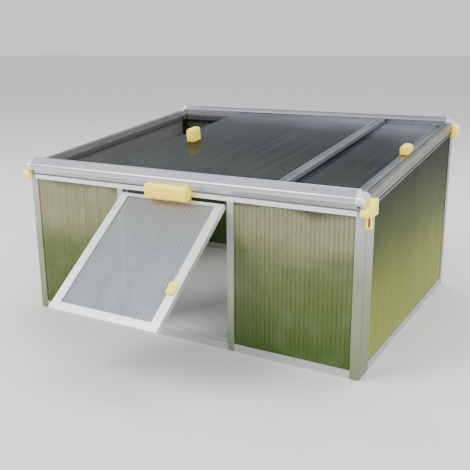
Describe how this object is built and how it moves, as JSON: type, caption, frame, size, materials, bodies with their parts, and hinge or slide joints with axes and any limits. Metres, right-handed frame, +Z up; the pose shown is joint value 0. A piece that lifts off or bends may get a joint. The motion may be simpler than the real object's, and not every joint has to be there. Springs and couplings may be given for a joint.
{
  "type": "tortoise house",
  "caption": "Low aluminium-framed tortoise house with clear twin-wall sheets, a sloping roof of sliding panels and a top-hinged flap door with a turn latch",
  "frame": {"origin": "centre of the bounding box on the ground, with the flap door held open and the left roof panel slid to the right as pictured", "axes": "+X along the front wall to the right as seen from the front, +Y from the front wall (with the door) to the back wall, +Z up"},
  "size_m": [0.9866, 1.052, 0.513],
  "materials": {
    "aluminium": "mill finish extrusion, satin",
    "twin_wall": "clear twin-wall sheet, glossy, slightly grey-green",
    "yellow_plastic": "moulded warm yellow plastic, satin to glossy",
    "pin_steel": "plain steel pin"
  },
  "bodies": {
    "house": {"back_bottom_rail": "aluminium", "back_sheet": "twin_wall", "back_top_rail": "aluminium", "corner_clip_back_left": "yellow_plastic", "corner_clip_back_right": "yellow_plastic", "corner_clip_front_left": "yellow_plastic", "corner_clip_front_right": "yellow_plastic", "door_jamb_left": "aluminium", "door_jamb_right": "aluminium", "door_sill": "aluminium", "front_bottom_rail_left": "aluminium", "front_bottom_rail_right": "aluminium", "front_sheet_left": "twin_wall", "front_sheet_right": "twin_wall", "front_top_rail": "aluminium", "hinge_block": "yellow_plastic", "hinge_pin": "pin_steel", "post_back_left": "aluminium", "post_back_right": "aluminium", "post_front_left": "aluminium", "post_front_right": "aluminium", "rail_cap_back_left": "aluminium", "rail_cap_back_right": "aluminium", "rail_cap_front_left": "aluminium", "rail_cap_front_right": "aluminium", "roof_rail_back": "aluminium", "roof_rail_front": "aluminium", "roof_side_rail_left": "aluminium", "roof_side_rail_right": "aluminium", "side_bottom_rail_left": "aluminium", "side_bottom_rail_right": "aluminium", "side_sheet_left": "twin_wall", "side_sheet_right": "twin_wall", "side_top_rail_left": "aluminium", "side_top_rail_right": "aluminium"},
    "door": {"door_bottom_rail": "aluminium", "door_sheet": "twin_wall", "door_stile_left": "aluminium", "door_stile_right": "aluminium", "door_top_rail": "aluminium", "hinge_bracket": "yellow_plastic", "latch_pin": "yellow_plastic"},
    "latch": {"door_latch": "yellow_plastic"},
    "left_panel": {"roof_sheet_left": "twin_wall", "panel_edge_left": "aluminium", "handle_left": "yellow_plastic"},
    "right_panel": {"roof_sheet_right": "twin_wall", "panel_edge_right": "aluminium", "handle_right": "yellow_plastic"}
  },
  "joints": [
    {"name": "door_flap", "type": "hinge", "parent": "house", "child": "door", "pos_m": [-0.0105, -0.24996, 0.374], "axis": [-1, 0, 0], "range_deg": [-53, 37]},
    {"name": "door_latch_turn", "type": "hinge", "parent": "door", "child": "latch", "pos_m": [0.12516, -0.43566, 0.2223], "axis": [0, -0.6018, 0.7986], "range_deg": [0, 90]},
    {"name": "left_panel_slide", "type": "slide", "parent": "house", "child": "left_panel", "axis": [1, 0, 0], "range_m": [-0.224, 0.074]},
    {"name": "right_panel_slide", "type": "slide", "parent": "house", "child": "right_panel", "axis": [1, 0, 0], "range_m": [-0.074, 0]}
  ]
}
